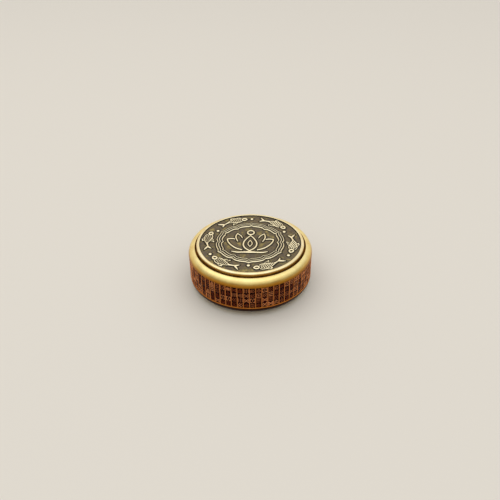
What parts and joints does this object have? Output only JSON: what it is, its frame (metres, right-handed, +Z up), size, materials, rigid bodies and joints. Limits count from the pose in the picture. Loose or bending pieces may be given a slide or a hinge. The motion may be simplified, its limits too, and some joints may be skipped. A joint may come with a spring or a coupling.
{
  "type": "palm prayer wheel",
  "caption": "Palm-sized round prayer wheel: a heavy brass ring with an engraved ornament band spins on a small ball bearing between two finger caps that carry a lotus relief.",
  "frame": {"origin": "centre of the bottom cap's resting face, on the surface that the wheel stands on", "axes": "+Z up along the spin axis; +X and +Y lie in the resting plane, and the relief reads upright from -Y"},
  "size_m": [0.045, 0.045, 0.0163],
  "materials": {
    "satin_brass": "satin turned and brushed, dark in the engraved band",
    "antique_brass": "blackened antique with polished high points",
    "washer_brass": "plain turned",
    "bearing_steel": "ground and polished bearing steel",
    "spring_steel": "black oxide",
    "cage_nylon": "moulded natural nylon",
    "ball_ceramic": "polished ceramic"
  },
  "bodies": {
    "finger_caps": {"top_cap": "antique_brass", "bottom_cap": "antique_brass", "cap_stud": "spring_steel", "top_shim_washer": "washer_brass", "bottom_shim_washer": "washer_brass", "bearing_inner_race": "bearing_steel"},
    "spinning_ring": {"scripture_ring": "satin_brass", "bearing_outer_race": "bearing_steel", "top_bearing_shield": "bearing_steel", "bottom_bearing_shield": "bearing_steel", "top_shield_snap_ring": "spring_steel", "bottom_shield_snap_ring": "spring_steel", "bearing_retaining_clip": "spring_steel"},
    "ball_cage": {"ball_cage": "cage_nylon"},
    "ball_01": {"bearing_ball_01": "ball_ceramic"},
    "ball_02": {"bearing_ball_02": "ball_ceramic"},
    "ball_03": {"bearing_ball_03": "ball_ceramic"},
    "ball_04": {"bearing_ball_04": "ball_ceramic"},
    "ball_05": {"bearing_ball_05": "ball_ceramic"},
    "ball_06": {"bearing_ball_06": "ball_ceramic"},
    "ball_07": {"bearing_ball_07": "ball_ceramic"},
    "ball_08": {"bearing_ball_08": "ball_ceramic"},
    "ball_09": {"bearing_ball_09": "ball_ceramic"},
    "ball_10": {"bearing_ball_10": "ball_ceramic"}
  },
  "joints": [
    {"name": "ring_spin", "type": "hinge", "parent": "finger_caps", "child": "spinning_ring", "pos_m": [0, 0, 0.00815], "axis": [0, 0, 1], "continuous": true},
    {"name": "cage_orbit", "type": "hinge", "parent": "finger_caps", "child": "ball_cage", "pos_m": [0, 0, 0.00815], "axis": [0, 0, 1], "continuous": true},
    {"name": "ball_01_roll", "type": "hinge", "parent": "ball_cage", "child": "ball_01", "pos_m": [0.00476, 0, 0.00815], "axis": [0, 0, 1], "continuous": true},
    {"name": "ball_02_roll", "type": "hinge", "parent": "ball_cage", "child": "ball_02", "pos_m": [0.00385, 0.0028, 0.00815], "axis": [0, 0, 1], "continuous": true},
    {"name": "ball_03_roll", "type": "hinge", "parent": "ball_cage", "child": "ball_03", "pos_m": [0.00147, 0.00453, 0.00815], "axis": [0, 0, 1], "continuous": true},
    {"name": "ball_04_roll", "type": "hinge", "parent": "ball_cage", "child": "ball_04", "pos_m": [-0.00147, 0.00453, 0.00815], "axis": [0, 0, 1], "continuous": true},
    {"name": "ball_05_roll", "type": "hinge", "parent": "ball_cage", "child": "ball_05", "pos_m": [-0.00385, 0.0028, 0.00815], "axis": [0, 0, 1], "continuous": true},
    {"name": "ball_06_roll", "type": "hinge", "parent": "ball_cage", "child": "ball_06", "pos_m": [-0.00476, 0, 0.00815], "axis": [0, 0, 1], "continuous": true},
    {"name": "ball_07_roll", "type": "hinge", "parent": "ball_cage", "child": "ball_07", "pos_m": [-0.00385, -0.0028, 0.00815], "axis": [0, 0, 1], "continuous": true},
    {"name": "ball_08_roll", "type": "hinge", "parent": "ball_cage", "child": "ball_08", "pos_m": [-0.00147, -0.00453, 0.00815], "axis": [0, 0, 1], "continuous": true},
    {"name": "ball_09_roll", "type": "hinge", "parent": "ball_cage", "child": "ball_09", "pos_m": [0.00147, -0.00453, 0.00815], "axis": [0, 0, 1], "continuous": true},
    {"name": "ball_10_roll", "type": "hinge", "parent": "ball_cage", "child": "ball_10", "pos_m": [0.00385, -0.0028, 0.00815], "axis": [0, 0, 1], "continuous": true}
  ],
  "couplings": [
    {"joint": "cage_orbit", "follows": "ring_spin", "ratio": 0.58336},
    {"joint": "ball_01_roll", "follows": "ring_spin", "ratio": 2.9157},
    {"joint": "ball_02_roll", "follows": "ring_spin", "ratio": 2.9157},
    {"joint": "ball_03_roll", "follows": "ring_spin", "ratio": 2.9157},
    {"joint": "ball_04_roll", "follows": "ring_spin", "ratio": 2.9157},
    {"joint": "ball_05_roll", "follows": "ring_spin", "ratio": 2.9157},
    {"joint": "ball_06_roll", "follows": "ring_spin", "ratio": 2.9157},
    {"joint": "ball_07_roll", "follows": "ring_spin", "ratio": 2.9157},
    {"joint": "ball_08_roll", "follows": "ring_spin", "ratio": 2.9157},
    {"joint": "ball_09_roll", "follows": "ring_spin", "ratio": 2.9157},
    {"joint": "ball_10_roll", "follows": "ring_spin", "ratio": 2.9157}
  ]
}
